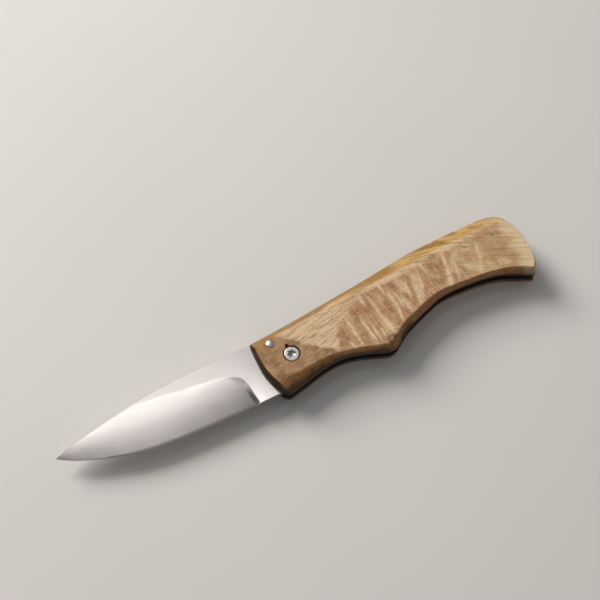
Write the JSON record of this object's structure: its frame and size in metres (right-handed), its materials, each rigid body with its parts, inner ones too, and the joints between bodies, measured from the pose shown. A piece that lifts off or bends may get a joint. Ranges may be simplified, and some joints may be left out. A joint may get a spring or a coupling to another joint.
{
  "type": "friction folding knife",
  "caption": "Friction folding knife: drop-point blade turning between two beveled figured-wood covers, with a socket pivot screw and a domed stop pin.",
  "frame": {"origin": "centre of the plain pivot head's flat, in the plane of the back cover's flat, on the pivot axis", "axes": "+X from the pivot along the handle, so that the open blade points along -X; +Y to the spine side; +Z along the pivot axis, from the back cover to the front cover and the screw head"},
  "size_m": [0.1995, 0.0379, 0.0134],
  "materials": {
    "figured_wood": "oiled, satin, pale cream and brown figure",
    "black_fibre": "sanded black fibre",
    "blade_steel": "fine satin",
    "bright_steel": "turned and lightly polished",
    "bronze": "ground washer stock"
  },
  "bodies": {
    "handle": {"back_cover": "figured_wood", "back_liner": "black_fibre", "back_washer": "bronze", "backspacer": "black_fibre", "front_cover": "figured_wood", "front_liner": "black_fibre", "front_washer": "bronze", "pivot_barrel": "bright_steel", "pivot_screw": "bright_steel", "spacer_pin_front": "bright_steel", "spacer_pin_middle": "bright_steel", "spacer_pin_rear": "bright_steel", "stop_pin": "bright_steel"},
    "blade": {"blade": "blade_steel"}
  },
  "joints": [
    {"name": "blade_pivot", "type": "hinge", "parent": "handle", "child": "blade", "pos_m": [0, 0, 0.0065], "axis": [0, 0, 1], "range_deg": [0, 180]}
  ]
}
